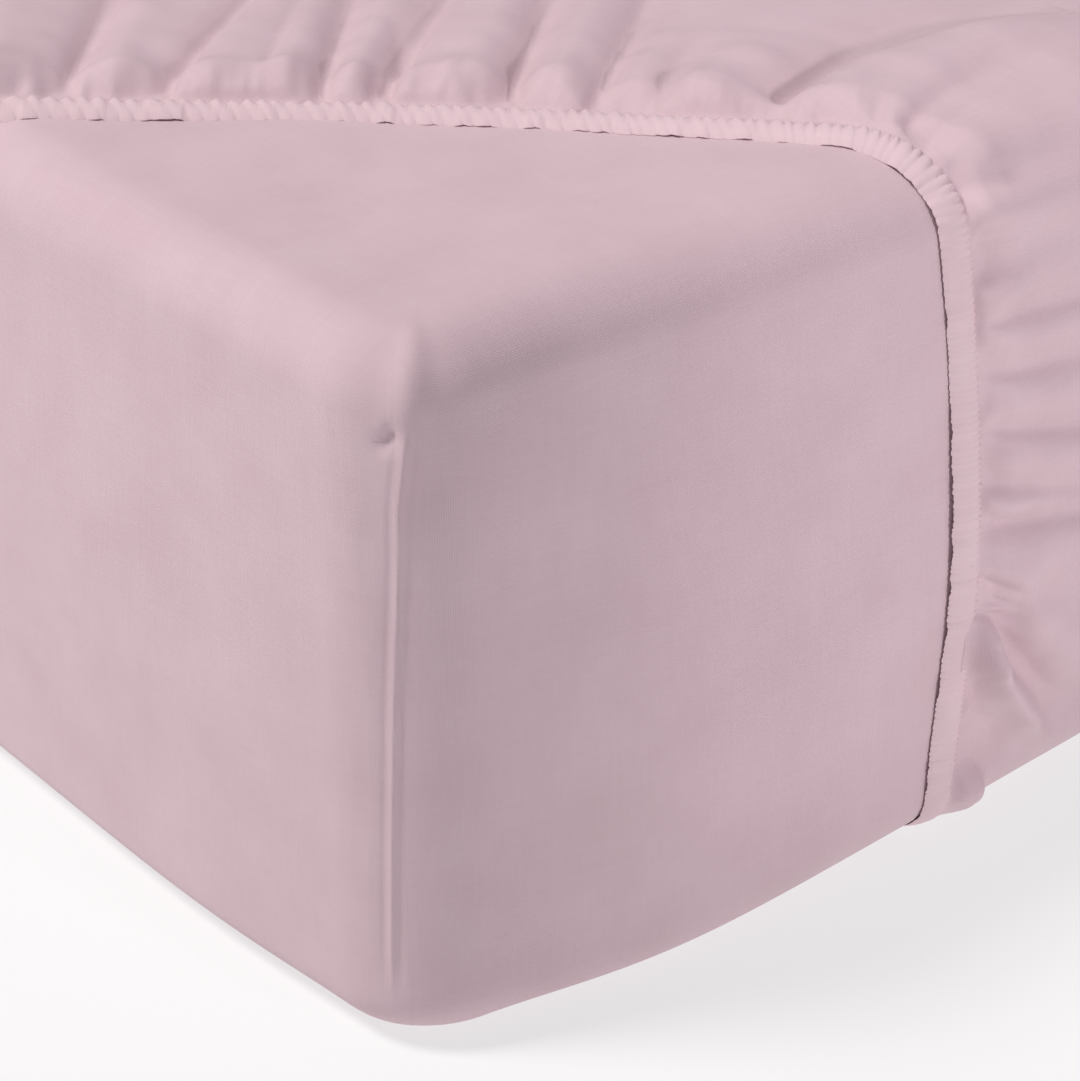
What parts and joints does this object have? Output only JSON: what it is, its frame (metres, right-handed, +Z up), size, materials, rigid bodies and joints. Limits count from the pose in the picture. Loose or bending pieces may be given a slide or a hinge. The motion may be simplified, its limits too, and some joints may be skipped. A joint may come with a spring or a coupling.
{
  "type": "fitted sheet on mattress",
  "caption": "Fitted sheet with an elastic hem on a deep single mattress; the hem has slipped off one corner, gathering the cloth behind it, and is tucked under at the others.",
  "frame": {"origin": "centre of the mattress's footprint on the surface it lies on", "axes": "+Z up; +Y along the mattress's length, away from the foot side; +X across its width. The bare corner, where the hem has slipped off, is at -X, -Y"},
  "size_m": [0.9192, 2.0272, 0.337],
  "materials": {
    "mattress_cover": "plain smooth cotton cover in pale dusty pink, matt",
    "sheet_cloth": "fine plain-weave cotton in pale dusty pink, matt, gathered at the elastic hem"
  },
  "bodies": {
    "root": {"mattress": "mattress_cover", "fitted_sheet": "sheet_cloth"}
  },
  "joints": []
}
